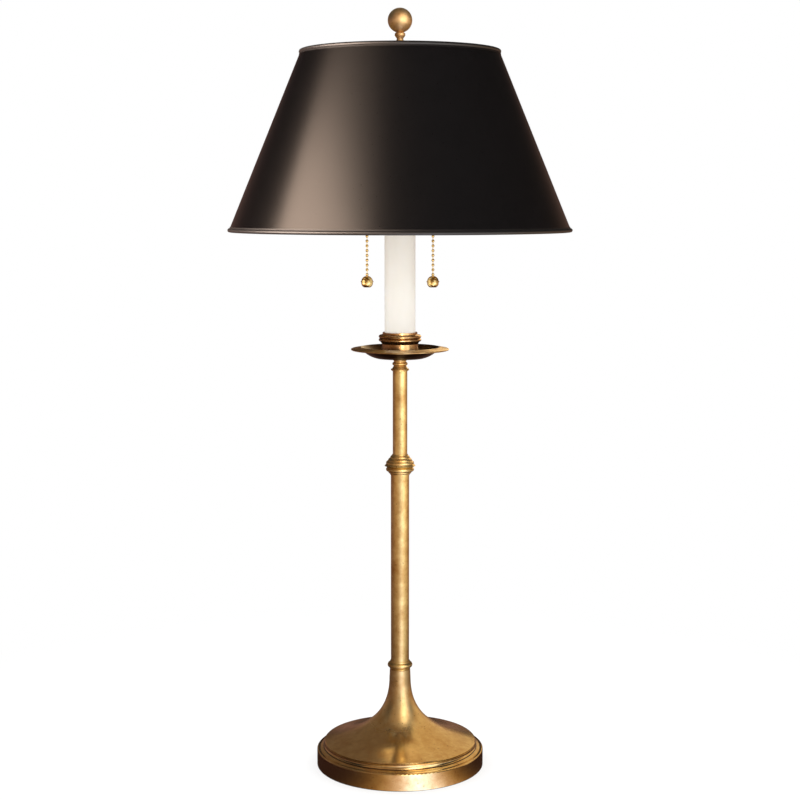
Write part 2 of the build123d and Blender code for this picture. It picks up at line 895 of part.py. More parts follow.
def shade_frame():
    """Upper ring, three arms and the hub that sits on the rest, welded into one."""
    hole = stud_radius + hub_hole_gap
    frame = peg(hub_radius, hub_bottom, hub_top)
    for arm in frame_arms(arm_wire_radius):
        frame += arm
    frame += ring_wire(slant_length)
    frame -= peg(rest_radius + rest_thickness, hub_bottom - overrun - arm_wire_radius, hub_bottom)
    frame -= peg(finial_foot_radius + clearance, hub_top, hub_top + arm_wire_radius + overrun)
    return frame - peg(hole, hub_bottom - overrun, hub_top + overrun)


def top_hem():
    """Upper tape, notched where the arms pass."""
    tape = hem_tape(slant_length, -1)
    for arm in frame_arms(arm_wire_radius + clearance):
        tape -= arm
    return tape


# Finial


def finial_base():
    """Turned foot, stem, waist and collar under the ball, bored for the stud."""
    heights = [finial_bottom + finial_base_height * share for share in finial_heights_shares]
    stem, waist, flare, collar, shoulder = heights
    top = finial_bottom + finial_base_height
    steps = [
        (finial_foot_radius, finial_bottom),
        (finial_foot_radius, finial_bottom + finial_foot_height),
        (finial_stem_radius, stem, between(finial_stem_radius, finial_foot_radius, finial_foot_share)),
        (finial_stem_radius, waist),
        (finial_waist_radius, flare, between(finial_waist_radius, finial_stem_radius, finial_waist_share)),
        (finial_collar_radius, collar),
        (finial_collar_radius, shoulder),
        (between(finial_tenon_radius, finial_collar_radius, finial_seat_share), top),
        (finial_tenon_radius, top),
        (finial_tenon_radius, top + finial_tenon_length),
    ]
    hole_top = hub_bottom + stud_length + clearance
    return turned(steps) - peg(stud_radius + finial_thread_gap, finial_bottom - overrun, hole_top)


def finial_ball():
    """Ball with a flat under it, drilled for the base's tenon."""
    top = finial_bottom + finial_base_height
    flat = between(finial_tenon_radius, finial_collar_radius, finial_seat_share)
    middle = top + math.sqrt(finial_ball_radius**2 - flat**2)
    ball = Pos(0, 0, middle) * Sphere(finial_ball_radius)
    ball -= peg(finial_ball_radius, top - finial_ball_radius, top)
    tenon_end = top + finial_tenon_length + running_gap
    return ball - peg(finial_tenon_radius + running_gap, top - overrun, tenon_end)


# Files: one per node

sides = {
    "right": Pos(cap_face, 0, socket_axis) * Rot(0, 90, 0),
    "left": Pos(-cap_face, 0, socket_axis) * Rot(0, -90, 0) * Rot(0, 0, 180),
}

whole = {
    "felt_pad": felt_pad,
    "base_shell": base_shell,
    "base_weight": base_weight,
    "cord_bushing": cord_bushing,
    "bottom_washer": bottom_washer,
    "bottom_nut": bottom_nut,
    "threaded_pipe": threaded_pipe,
    "lower_collar": lower_collar,
    "lower_tube": lower_tube,
    "knuckle": knuckle,
    "upper_tube": upper_tube,
    "pan_neck": pan_neck,
    "drip_pan": drip_pan,
    "candle_cup": candle_cup,
    "cup_nut": cup_nut,
    "candle_sleeve": candle_sleeve,
    "sleeve_cap": sleeve_cap,
    "cluster_body": cluster_body,
    "cluster_cover": cluster_cover,
    "shade_rod": shade_rod,
    "shade_rest": shade_rest,
    "shade_paper": shade_paper,
    "shade_lining": shade_lining,
    "shade_frame": shade_frame,
    "bottom_ring": lambda: ring_wire(0),
    "top_hem": top_hem,
    "bottom_hem": lambda: hem_tape(0, 1),
    "finial_base": finial_base,
    "finial_ball": finial_ball,
}

paired = {
    "socket_cap": cap,
    "socket_shell": shell,
    "socket_liner": liner,
    "switch_body": interior,
    "screw_shell": screw_shell,
    "centre_contact": contact,
    "chain_guide": chain_guide,
    "switch_lever": lever,
    "lever_pin": lever_pin,
    "chain_lead": chain_lead,
    "pull_chain": pull_chain,
    "pull_knob": pull_knob,
    "bulb_cap": bulb_cap,
    "bulb_glass": bulb_glass,
}

twins = {"socket_nipples": nipple, "socket_washers": socket_washer}

os.makedirs("parts", exist_ok=True)
for name, make in whole.items():
    export_step(make(), f"parts/{name}.step")
for name, make in paired.items():
    piece = make()
    for side, place in sides.items():
        export_step(place * piece, f"parts/{side}_{name}.step")
for name, make in twins.items():
    piece = make()
    export_step(Compound(children=[place * piece for place in sides.values()]), f"parts/{name}.step")
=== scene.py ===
# %% [markdown]
# # A candlestick table lamp, dressed in Blender
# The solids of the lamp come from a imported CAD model, in metres, with +Z up the stem and -Y towards
# the photographer. They are the frame of this lesson: they stay where they are, and this file gives
# them finishes, adds the small pieces that a solid model leaves out, and lights the whole.

# %% Load the frame
import json
import math

import bpy
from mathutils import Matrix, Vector


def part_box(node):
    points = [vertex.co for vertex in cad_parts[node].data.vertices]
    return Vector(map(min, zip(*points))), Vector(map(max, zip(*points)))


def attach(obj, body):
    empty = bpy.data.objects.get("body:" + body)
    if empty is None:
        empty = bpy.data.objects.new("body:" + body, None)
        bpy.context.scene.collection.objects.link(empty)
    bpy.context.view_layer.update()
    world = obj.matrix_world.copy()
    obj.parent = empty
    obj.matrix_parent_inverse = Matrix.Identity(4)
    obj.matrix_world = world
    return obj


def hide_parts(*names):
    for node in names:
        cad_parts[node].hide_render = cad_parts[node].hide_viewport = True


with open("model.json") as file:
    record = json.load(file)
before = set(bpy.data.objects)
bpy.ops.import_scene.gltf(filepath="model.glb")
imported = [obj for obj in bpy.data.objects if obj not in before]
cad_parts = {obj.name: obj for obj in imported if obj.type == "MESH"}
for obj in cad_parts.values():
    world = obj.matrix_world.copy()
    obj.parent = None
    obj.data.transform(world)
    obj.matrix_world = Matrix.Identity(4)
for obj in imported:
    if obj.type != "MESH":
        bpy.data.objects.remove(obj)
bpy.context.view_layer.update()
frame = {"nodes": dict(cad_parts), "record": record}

MM = 0.001

# %% [markdown]
# ## Small tools
# A finish is written the way a paint shop would: colours as sRGB hex values, pattern sizes in
# millimetres. Blender wants linear colour and a texture scale in repeats per metre, so two short
# functions translate. One more adds a node: plain values fill its sockets, and sockets are linked.

# %% Colour, scale and node helpers
def linear(hex_colour):
    """An sRGB hex colour as linear red, green, blue and alpha."""
    parts = [int(hex_colour[place:place + 2], 16) / 255 for place in (1, 3, 5)]
    low_slope, bend, offset, power = 12.92, 0.04045, 0.055, 2.4
    curve = [
        part / low_slope if part <= bend else ((part + offset) / (1 + offset)) ** power
        for part in parts
    ]
    return (*curve, 1.0)


def per_metre(size_mm):
    """How often a pattern of this size repeats in a metre."""
    return 1 / (size_mm * MM)


def add(tree, kind, settings=None, inputs=None):
    """Adds a node, sets it, and fills or links its inputs, by name or by number."""
    made = tree.nodes.new(kind)
    for name, value in (settings or {}).items():
        setattr(made, name, value)
    for name, value in (inputs or {}).items():
        if isinstance(value, bpy.types.NodeSocket):
            tree.links.new(value, made.inputs[name])
        else:
            made.inputs[name].default_value = value
    return made


def start_finish(name, constants):
    """A new material whose Principled shader has these constants on its own sockets."""
    material = bpy.data.materials.new(name)
    material.use_nodes = True
    tree = material.node_tree
    shader = tree.nodes["Principled BSDF"]
    for socket, value in constants.items():
        shader.inputs[socket].default_value = value
    place = add(tree, "ShaderNodeTexCoord").outputs["Object"]
    return material, tree, shader, place


finishes = {}

# %% [markdown]
# ## The camera
# The photograph was taken from the front, a little above the drip pan, with a longish lens. Its
# distance, height and tilt were worked out from the ellipses of the base, the pan and the shade, so
# the drawn ellipses are as open as the photographed ones. A camera set by eye would match the
# outline in one place only. A focal length in pixels becomes a lens in millimetres through the
# width of the sensor.

# %% Camera
image_width = 800
focal_pixels = 1636.5
camera_distance = 1.763
camera_height = 0.6215
camera_tilt = 0.121

camera_data = bpy.data.cameras.new("photo_camera")
camera_data.sensor_width = 36.0
camera_data.lens = camera_data.sensor_width * focal_pixels / image_width
camera = bpy.data.objects.new("photo_camera", camera_data)
camera.location = (0, -camera_distance, camera_height)
camera.rotation_euler = (math.pi / 2 - camera_tilt, 0, 0)
bpy.context.scene.collection.objects.link(camera)
bpy.context.scene.camera = camera
print("lens:", round(camera_data.lens, 2), "mm")

# %% [markdown]
# ## The studio
# The photograph has a pure white ground. The world and the floor are therefore white to the camera,
# and they throw an even white light on the lamp. Metal needs more than that: brass only looks like
# brass when it has something bright and something dark to mirror. In reflections the studio is
# graded, as a photographer does with boards and flags: a white board at the right front, a warm
# wall on both sides of it, and a dim brown side behind and to the left. A picture of a room could
# do this, but a formula has no seam and every part of it can be set. One function draws the grade
# for the world and for the floor.

# %% View and the graded studio
scene = bpy.context.scene
scene.view_settings.view_transform = "Standard"

dim_side, warm_wall, bright_board = linear("#7A5A50"), linear("#E0B070"), linear("#FFFFFF")
board_turn, wall_spread, board_core = 35, 2.0, 6.0


def studio_colour(tree, way, turn_degrees, dark, spread, core, board=bright_board):
    """The mirrored studio's colour one way: dark, then warm, and white at its board."""
    turn = math.radians(turn_degrees)
    level_way = add(tree, "ShaderNodeVectorMath", {"operation": "MULTIPLY"}, {0: way, 1: (1, 1, 0)})
    unit = add(tree, "ShaderNodeVectorMath", {"operation": "NORMALIZE"}, {0: level_way.outputs[0]})
    turned = add(tree, "ShaderNodeVectorMath", {"operation": "DOT_PRODUCT"}, {
        0: unit.outputs[0], 1: (math.sin(turn), -math.cos(turn), 0)})
    share = add(tree, "ShaderNodeMapRange", inputs={
        "Value": turned.outputs["Value"], "From Min": -1.0, "From Max": 1.0})
    colour = dark
    for power, lighter in ((spread, warm_wall), (core, board)):
        lobe = add(tree, "ShaderNodeMath", {"operation": "POWER"}, {0: share.outputs[0], 1: power})
        colour = add(tree, "ShaderNodeMix", {"data_type": "RGBA"}, {
            0: lobe.outputs[0], 6: colour, 7: lighter}).outputs[2]
    return colour


def seen_rays(tree):
    """Two sockets: 1 for a ray from the camera, and 1 for a ray that a mirror or glass sends on."""
    rays = add(tree, "ShaderNodeLightPath")
    mirrored = add(tree, "ShaderNodeMath", {"operation": "MAXIMUM"}, {
        0: rays.outputs["Is Glossy Ray"], 1: rays.outputs["Is Transmission Ray"]})
    return rays.outputs["Is Camera Ray"], mirrored.outputs[0]


# %% [markdown]
# ## World
# The world is all that lies past the floor's edge. It has two faces: plain white for the camera and
# for diffuse light, and the graded studio for rays that a mirror sends on. Upwards the mirrored
# studio fades out, which keeps the black shade black. Real flags can't hide from the camera like
# this, so a photographer would cut the ground to white afterwards.

# %% World
world = bpy.data.worlds.new("studio")
world.use_nodes = True
scene.world = world
sky = world.node_tree
fill_light = 1.5
dimmer_from, dimmer_to, overhead_share = 0.02, 0.3, 0.01
way = add(sky, "ShaderNodeTexCoord").outputs["Generated"]
height = add(sky, "ShaderNodeSeparateXYZ", inputs={0: way})
overhead = add(sky, "ShaderNodeMapRange", {"interpolation_type": "SMOOTHSTEP"}, {
    "Value": height.outputs["Z"], "From Min": dimmer_from, "From Max": dimmer_to,
    "To Min": 1.0, "To Max": overhead_share})
mirrored = add(sky, "ShaderNodeBackground", inputs={
    "Color": studio_colour(sky, way, board_turn, dim_side, wall_spread, board_core),
    "Strength": overhead.outputs[0]})
camera_ray, mirrored_ray = seen_rays(sky)
level = add(sky, "ShaderNodeMapRange", inputs={
    "Value": camera_ray, "To Min": fill_light, "To Max": 1.0})
plain = sky.nodes["Background"]
plain.inputs["Color"].default_value = (1, 1, 1, 1)
sky.links.new(level.outputs[0], plain.inputs["Strength"])
either = add(sky, "ShaderNodeMixShader", inputs={
    0: mirrored_ray, 1: plain.outputs[0], 2: mirrored.outputs[0]})
sky.links.new(either.outputs[0], sky.nodes["World Output"].inputs["Surface"])
print("world made, fill light", fill_light)

# %% [markdown]
# ## Floor
# The lamp stands on a white table that runs on behind it. A large plane is enough. It is white to
# the camera from a little way off and shades softly under the base. The tubes and the knuckle
# mirror the floor, so it has the studio's grade in reflections, with a steeper grade close by.

# %% Floor
bpy.ops.object.select_all(action="DESELECT")
floor_size = 40.0
bpy.ops.mesh.primitive_plane_add(size=floor_size, location=(0, 0, 0))
floor = bpy.context.object
floor.name = "floor"

floor_finish, tree, shader, place = start_finish("studio_floor", {
    "Base Color": linear("#F2F2F2"), "Roughness": 0.9, "Specular IOR Level": 0.0})
distance = add(tree, "ShaderNodeVectorMath", {"operation": "LENGTH"}, {0: place})
shadow_reach, shadow_end, shadow_white = 0.2, 0.7, 0.7
white_share = add(tree, "ShaderNodeMapRange", {"interpolation_type": "SMOOTHSTEP"}, {
    "Value": distance.outputs["Value"], "From Min": shadow_reach, "From Max": shadow_end,
    "To Min": shadow_white, "To Max": 1.0})
near_turn, near_spread, near_core = 16, 13.0, 60.0
near_dark, near_board = linear("#2A1714"), (1.6, 1.7, 2.3, 1.0)
near = studio_colour(tree, place, near_turn, near_dark, near_spread, near_core, board=near_board)
far = studio_colour(tree, place, board_turn, dim_side, wall_spread, board_core)
near_end, far_start = 0.2, 1.1
far_share = add(tree, "ShaderNodeMapRange", {"interpolation_type": "SMOOTHSTEP"}, {
    "Value": distance.outputs["Value"], "From Min": near_end, "From Max": far_start})
graded = add(tree, "ShaderNodeMix", {"data_type": "RGBA"}, {
    0: far_share.outputs[0], 6: near, 7: far})
camera_ray, mirrored_ray = seen_rays(tree)
mirror_gain = 1.3
white = add(tree, "ShaderNodeEmission", inputs={"Color": (1, 1, 1, 1), "Strength": 1.0})
mirrored = add(tree, "ShaderNodeEmission", inputs={
    "Color": graded.outputs[2], "Strength": mirror_gain})
camera_share = add(tree, "ShaderNodeMath", {"operation": "MULTIPLY"}, {
    0: camera_ray, 1: white_share.outputs[0]})
plain = add(tree, "ShaderNodeMixShader", inputs={
    0: camera_share.outputs[0], 1: shader.outputs[0], 2: white.outputs[0]})
blend = add(tree, "ShaderNodeMixShader", inputs={
    0: mirrored_ray, 1: plain.outputs[0], 2: mirrored.outputs[0]})
tree.links.new(blend.outputs[0], tree.nodes["Material Output"].inputs["Surface"])
floor.data.materials.append(floor_finish)
print("floor made")

# %% [markdown]
# ## Softboxes
# A softbox is a lamp in a cloth-fronted box, and its bright rectangle is what a shiny surface
# mirrors. A studio would keep each light to its part with flags and barn doors. Here light linking
# does that: each softbox has a list of the solids that it reaches.

# %% Softbox tools
def softbox(name, place, target, size, radiance, hex_colour, reached):
    """A rectangular lamp, equally bright from everywhere in front, for the nodes in a list."""
    data = bpy.data.lights.new(name, "AREA")
    data.shape = "RECTANGLE"
    data.size, data.size_y = size
    data.energy = radiance * math.pi * size[0] * size[1]
    data.color = linear(hex_colour)[:3]
    lamp = bpy.data.objects.new(name, data)
    lamp.location = place
    lamp.rotation_euler = (Vector(target) - lamp.location).to_track_quat("-Z", "Y").to_euler()
    scene.collection.objects.link(lamp)
    lamp.visible_camera = False
    lamp.light_linking.receiver_collection = reached


def lit(name, kinds):
    """A collection of the nodes whose own name or finish slot is in the list."""
    group = bpy.data.collections.new("lit_" + name)
    for part in frame["record"]["subparts"]:
        if part["node"] in kinds or part["material_slot"] in kinds:
            group.objects.link(frame["nodes"][part["node"]])
    return group


# %% [markdown]
# Two softboxes stand on the left. They give the black shade its broad sheen and its tape a pale
# edge. A third, low in front, evens out the candle, which stands in the shade's own shadow.

# %% Softboxes for the shade and the candle
paper = lit("paper", ("shade_black", "hem_black"))
hem = lit("hem", ("hem_black",))
candle = lit("candle", ("candle_white",))
shade_middle, candle_middle = (0, 0, 0.68), (0, 0, 0.55)
softbox("shade_softbox", place=(-1.1, -0.77, 1.2), target=shade_middle, size=(1.8, 0.75),
        radiance=5.1, hex_colour="#FFE0C8", reached=paper)
softbox("hem_softbox", place=(-1.4, -0.56, 0.75), target=shade_middle, size=(1.5, 0.9),
        radiance=11.0, hex_colour="#FFE8D8", reached=hem)
softbox("candle_softbox", place=(0, -1.5, 0.35), target=candle_middle, size=(1.6, 0.8),
        radiance=0.4, hex_colour="#FFF8EE", reached=candle)

# %% [markdown]
# A tall softbox at the right front draws the cream line down all the brass. Two low ones lift the
# sides of the tubes, which mirror the room from the waist down. The turned rings face up and down
# as well, so the knuckle has one in front of it.

# %% Softboxes for the stem
metal = lit("metal", (
    "antique_brass", "bright_brass", "socket_brass", "wire_brass", "steel", "bulb_metal"))
tubes = lit("tubes", ("lower_tube", "upper_tube", "pan_neck"))
rings = lit("rings", ("lower_collar", "knuckle", "pan_neck"))
stem_middle, knuckle_middle = (0, 0, 0.3), (0, 0, 0.335)
softbox("stem_softbox", place=(1.0, -1.3, 0.75), target=stem_middle, size=(1.3, 1.9),
        radiance=1.65, hex_colour="#FFFAF4", reached=metal)
softbox("tube_left_fill", place=(-0.8, -0.6, 0.2), target=stem_middle, size=(1.0, 0.8),
        radiance=0.28, hex_colour="#FFE0A8", reached=tubes)
softbox("tube_right_fill", place=(0.95, -0.3, 0.2), target=stem_middle, size=(0.9, 0.8),
        radiance=0.5, hex_colour="#FFE8A0", reached=tubes)
softbox("knuckle_softbox", place=(0.3, -1.25, 0.85), target=knuckle_middle, size=(1.4, 1.0),
        radiance=0.9, hex_colour="#FFE2B0", reached=rings)

# %% [markdown]
# The dome of the base lies flat and mirrors what is high up behind it, so two large softboxes hang
# there, the right one stronger. The trumpet above it mirrors what is high in front: a narrow bright
# softbox for its highlight, and a wide weak one as fill.

# %% Softboxes for the base
base = lit("base", ("base_shell",))
turned = lit("turned", ("base_shell", "lower_collar", "knuckle"))
base_middle = (0, 0, 0.05)
softbox("base_softbox", place=(1.0, 1.0, 1.2), target=base_middle, size=(2.4, 2.4),
        radiance=0.7, hex_colour="#FFD9A0", reached=base)
softbox("base_fill", place=(-1.0, 1.0, 1.2), target=base_middle, size=(2.4, 2.4),
        radiance=0.14, hex_colour="#FFD0A0", reached=base)
softbox("foot_softbox", place=(0.45, -0.95, 1.05), target=base_middle, size=(0.45, 1.1),
        radiance=3.0, hex_colour="#FFF0D4", reached=turned)
softbox("foot_fill", place=(-0.1, -1.0, 1.1), target=base_middle, size=(2.6, 1.5),
        radiance=0.28, hex_colour="#FFC890", reached=turned)

# %% [markdown]
# The small pieces each face another way. The pan's brim mirrors what is behind the lamp, the cup
# what is in front of it, the finial ball a wide part of the room, and the beads of the chains the
# left side and the table.

# %% Softboxes for the pan, the cup, the finial and the chains
pan = lit("pan", ("drip_pan", "candle_cup", "pan_neck", "knuckle"))
cup = lit("cup", ("candle_cup", "pan_neck"))
finial = lit("finial", ("finial_base", "finial_ball"))
chain = lit("chain", ("bright_brass",))
pan_middle, cup_middle = (0, 0, 0.47), (0, 0, 0.48)
finial_middle, chain_middle = (0, 0, 0.81), (0, 0, 0.56)
softbox("pan_softbox", place=(0.62, 1.37, 0.97), target=pan_middle, size=(1.0, 1.0),
        radiance=2.0, hex_colour="#FFE2B0", reached=pan)
softbox("cup_softbox", place=(0.32, -1.5, 0.42), target=cup_middle, size=(0.45, 0.9),
        radiance=10.0, hex_colour="#FFF4E4", reached=cup)
softbox("finial_softbox", place=(0.7, -1.1, 1.1), target=finial_middle, size=(1.7, 1.8),
        radiance=1.75, hex_colour="#FFF0DC", reached=finial)
softbox("finial_fill", place=(-0.1, -1.0, 1.4), target=finial_middle, size=(2.4, 1.6),
        radiance=0.3, hex_colour="#FFC8A0", reached=finial)
softbox("chain_softbox", place=(-1.4, -0.4, 0.5), target=chain_middle, size=(1.4, 1.0),
        radiance=3.0, hex_colour="#FFF4E0", reached=chain)
softbox("chain_fill", place=(0, -0.8, 0.12), target=chain_middle, size=(1.4, 0.5),
        radiance=1.0, hex_colour="#FFE8B8", reached=chain)

# %% [markdown]
# ## Burnished brass
# The stem, pan, cup, base and finial are turned or spun brass with an antique finish: darkened in a
# bath, rubbed back by hand and waxed. That leaves warm gold with brown clouds some millimetres
# wide, fine lathe lines round the axis, and small dark specks where the bath bit deeper. All of it
# is metal, so the shader is fully metallic and only colour and roughness vary. Five mixes of one
# recipe are used. The base is rubbed bright on its broad faces and satin near the axis. The stem is
# yellower with browner clouds. The pan's mix has darker clouds and painted shade in its bowl, which
# stand in for the dark that the bowl mirrors. The cup is browner, and the finial is pale and satin
# from handling. A thin ring at the foot of the base's cove is also drawn darker. An image could be
# wrapped round each piece, but a turned piece has no good place for its seam. Noise in space needs
# none, and the distance from the axis tells it where the lathe lines and the satin go.

# %% Finish: spun brass in five mixes
def spun_brass(name, light, cloud, smooth, dull, satin_more=0.22, dark_band=(0.0, 0.0)):
    """Turned brass with tarnish clouds, specks and lathe lines, and a darker colour between the dark
    band's radii.
    """
    material, tree, shader, place = start_finish(name, {
        "Metallic": 1.0, "Coat Weight": 0.4, "Coat Roughness": 0.3})
    cloud_size, speck_size, line_size, line_depth = 14.0, 2.4, 0.9, 0.05
    speck_colour, dark_band_colour = linear("#5A3518"), linear("#46301C")
    satin_start, satin_end = 15 * MM, 48 * MM
    clouds = add(tree, "ShaderNodeTexNoise", inputs={
        "Vector": place, "Scale": per_metre(cloud_size), "Detail": 5.0, "Roughness": 0.6})
    cloud_share = add(tree, "ShaderNodeMapRange", inputs={
        "Value": clouds.outputs["Fac"], "From Min": 0.38, "From Max": 0.72})
    tarnish = add(tree, "ShaderNodeMix", {"data_type": "RGBA"}, {
        0: cloud_share.outputs[0], 6: linear(light), 7: linear(cloud)})
    specks = add(tree, "ShaderNodeTexNoise", inputs={
        "Vector": place, "Scale": per_metre(speck_size), "Detail": 3.0})
    speck_share = add(tree, "ShaderNodeMapRange", inputs={
        "Value": specks.outputs["Fac"], "From Min": 0.66, "From Max": 0.74, "To Max": 0.7})
    colour = add(tree, "ShaderNodeMix", {"data_type": "RGBA"}, {
        0: speck_share.outputs[0], 6: tarnish.outputs[2], 7: speck_colour})
    flat_place = add(tree, "ShaderNodeVectorMath", {"operation": "MULTIPLY"}, {
        0: place, 1: (1, 1, 0)})
    radius = add(tree, "ShaderNodeVectorMath", {"operation": "LENGTH"}, {0: flat_place.outputs[0]})
    height = add(tree, "ShaderNodeSeparateXYZ", inputs={0: place})
    round_place = add(tree, "ShaderNodeCombineXYZ", inputs={
        "X": radius.outputs["Value"], "Z": height.outputs["Z"]})
    # Between the dark band's radii the colour is darker: painted shade in the pan's bowl, and a thin
    # darker ring at the foot of the base's cove.
    inner, outer = dark_band
    in_dark_band = add(tree, "ShaderNodeMath", {"operation": "COMPARE"}, {
        0: radius.outputs["Value"], 1: (inner + outer) / 2 * MM, 2: (outer - inner) / 2 * MM})
    banded_colour = add(tree, "ShaderNodeMix", {"data_type": "RGBA"}, {
        0: in_dark_band.outputs[0], 6: colour.outputs[2], 7: dark_band_colour})
    lathe = add(tree, "ShaderNodeTexNoise", inputs={
        "Vector": round_place.outputs[0], "Scale": per_metre(line_size), "Detail": 2.0})
    lathe_rough = add(tree, "ShaderNodeMapRange", inputs={
        "Value": lathe.outputs["Fac"], "To Min": smooth, "To Max": dull})
    satin = add(tree, "ShaderNodeMapRange", {"interpolation_type": "SMOOTHSTEP"}, {
        "Value": radius.outputs["Value"], "From Min": satin_start, "From Max": satin_end,
        "To Min": satin_more, "To Max": 0.0})
    turned_rough = add(tree, "ShaderNodeMath", {"operation": "ADD"}, {
        0: lathe_rough.outputs[0], 1: satin.outputs[0]})
    rough = add(tree, "ShaderNodeMath", {"operation": "MULTIPLY_ADD"}, {
        0: cloud_share.outputs[0], 1: dull - smooth, 2: turned_rough.outputs[0]})
    bump = add(tree, "ShaderNodeBump", inputs={
        "Strength": 0.5 * dull, "Distance": line_depth * MM, "Height": lathe.outputs["Fac"]})
    tree.links.new(banded_colour.outputs[2], shader.inputs["Base Color"])
    tree.links.new(rough.outputs[0], shader.inputs["Roughness"])
    tree.links.new(bump.outputs[0], shader.inputs["Normal"])
    return material


# A thin ring at the foot of the base's cove, 84.2 to 85.2 mm out, is drawn darker.
finishes["antique_brass"] = spun_brass(
    "brass_burnished_waxed", "#E8D09A", "#CCA66A", 0.12, 0.2, dark_band=(84.2, 85.2))
gold_brass = spun_brass("brass_rubbed_waxed", "#EAD294", "#BE9252", 0.12, 0.2)
# The pan's mix is darker, with painted shade in its bowl between 24 and 43 mm, standing in for the
# dark that the bowl mirrors.
shaded_pan_brass = spun_brass(
    "brass_waxed_painted_shade", "#E2C48C", "#A87A48", 0.24, 0.34, dark_band=(24.0, 43.0))
brown_brass = spun_brass(
    "brass_oxidised_waxed", "#DAB47C", "#9A6C42", 0.15, 0.23, satin_more=0.04)
pale_brass = spun_brass("brass_satin_waxed", "#ECD2A2", "#CEA46C", 0.2, 0.28)
own_finishes = {
    "lower_collar": gold_brass, "lower_tube": gold_brass, "knuckle": gold_brass,
    "upper_tube": gold_brass, "pan_neck": gold_brass, "drip_pan": shaded_pan_brass,
    "candle_cup": brown_brass, "finial_base": pale_brass, "finial_ball": pale_brass}
brass_mixes = (finishes["antique_brass"], gold_brass, shaded_pan_brass, brown_brass, pale_brass)
print("made", [mix.name for mix in brass_mixes])

# %% [markdown]
# ## Polished chain brass
# Bead chain is rolled from thin brass strip and tumbled until it shines. Only faint scratches and a
# slight change of tone from bead to bead are left. A colour for each bead could be set by hand. A
# noise that is a little wider than a bead gives the same change without a list.

# %% Finish: polished chain brass
material, tree, shader, place = start_finish("brass_tumbled_bead", {"Metallic": 1.0})
tone_size, scratch_size = 5.0, 0.8
tone = add(tree, "ShaderNodeTexNoise", inputs={
    "Vector": place, "Scale": per_metre(tone_size), "Detail": 2.0})
colour = add(tree, "ShaderNodeMix", {"data_type": "RGBA"}, {
    0: tone.outputs["Fac"], 6: linear("#F4E0A4"), 7: linear("#E2C07C")})
scratch = add(tree, "ShaderNodeTexNoise", inputs={
    "Vector": place, "Scale": per_metre(scratch_size), "Detail": 4.0, "Distortion": 1.5})
rough = add(tree, "ShaderNodeMapRange", inputs={
    "Value": scratch.outputs["Fac"], "To Min": 0.14, "To Max": 0.32})
tree.links.new(colour.outputs[2], shader.inputs["Base Color"])
tree.links.new(rough.outputs[0], shader.inputs["Roughness"])
finishes["bright_brass"] = material
print("made", material.name)

# %% [markdown]
# ## Plated socket brass and wire
# The sockets, cluster and rod are drawn from sheet and plated to a satin finish. The drawing leaves
# fine lines round the shell. The shade's wire is steel with the same plating, duller because it is
# never polished. An anisotropic shader could stand for the lines, but stretched noise also shows
# them close up, and one function serves both.

# %% Finish: plated brass, for the sockets and for the wire
def plated_brass(name, light, dark, smooth, dull):
    """Satin plating with fine drawing lines and soft stains."""
    material, tree, shader, place = start_finish(name, {"Metallic": 1.0})
    stain_size, draw_size, draw_depth, round_share = 9.0, 0.7, 0.05, 0.05
    stain = add(tree, "ShaderNodeTexNoise", inputs={
        "Vector": place, "Scale": per_metre(stain_size), "Detail": 4.0})
    colour = add(tree, "ShaderNodeMix", {"data_type": "RGBA"}, {
        0: stain.outputs["Fac"], 6: linear(light), 7: linear(dark)})
    along = add(tree, "ShaderNodeVectorMath", {"operation": "MULTIPLY"}, {
        0: place, 1: (1, round_share, round_share)})
    drawn = add(tree, "ShaderNodeTexNoise", inputs={
        "Vector": along.outputs[0], "Scale": per_metre(draw_size), "Detail": 2.0})
    rough = add(tree, "ShaderNodeMapRange", inputs={
        "Value": drawn.outputs["Fac"], "To Min": smooth, "To Max": dull})
    bump = add(tree, "ShaderNodeBump", inputs={
        "Strength": 0.2, "Distance": draw_depth * MM, "Height": drawn.outputs["Fac"]})
    tree.links.new(colour.outputs[2], shader.inputs["Base Color"])
    tree.links.new(rough.outputs[0], shader.inputs["Roughness"])
    tree.links.new(bump.outputs[0], shader.inputs["Normal"])
    return material


finishes["socket_brass"] = plated_brass("brass_plated_satin", "#D2AC66", "#B48A48", 0.22, 0.38)
finishes["wire_brass"] = plated_brass("steel_wire_brass_plated", "#B89658", "#94743C", 0.3, 0.5)
print("made", [finishes[slot].name for slot in ("socket_brass", "wire_brass")])

# %% [markdown]
# ## Steel
# The nuts, washers and threaded pipe are steel, zinc plated and passivated: grey with a patchy
# crystal bloom. Cells of a Voronoi pattern look like that bloom, where cloudy noise would look like
# dirt. Hardly anything of it shows, but the finish is there when the lamp is opened.

# %% Finish: zinc-plated steel
material, tree, shader, place = start_finish("steel_zinc_plated", {"Metallic": 1.0})
bloom_size = 1.8
bloom = add(tree, "ShaderNodeTexVoronoi", inputs={
    "Vector": place, "Scale": per_metre(bloom_size)})
colour = add(tree, "ShaderNodeMix", {"data_type": "RGBA"}, {
    0: bloom.outputs["Distance"], 6: linear("#B9BBBD"), 7: linear("#8E9296")})
rough = add(tree, "ShaderNodeMapRange", inputs={
    "Value": bloom.outputs["Distance"], "To Min": 0.28, "To Max": 0.46})
tree.links.new(colour.outputs[2], shader.inputs["Base Color"])
tree.links.new(rough.outputs[0], shader.inputs["Roughness"])
finishes["steel"] = material
print("made", material.name)

# %% [markdown]
# ## Iron
# The weight in the base is sand-cast iron under thin black paint, rough from the mould's grain. The
# paint is what is seen, so the shader isn't metallic. A bump is enough for the grain, because no
# outline of the weight shows.

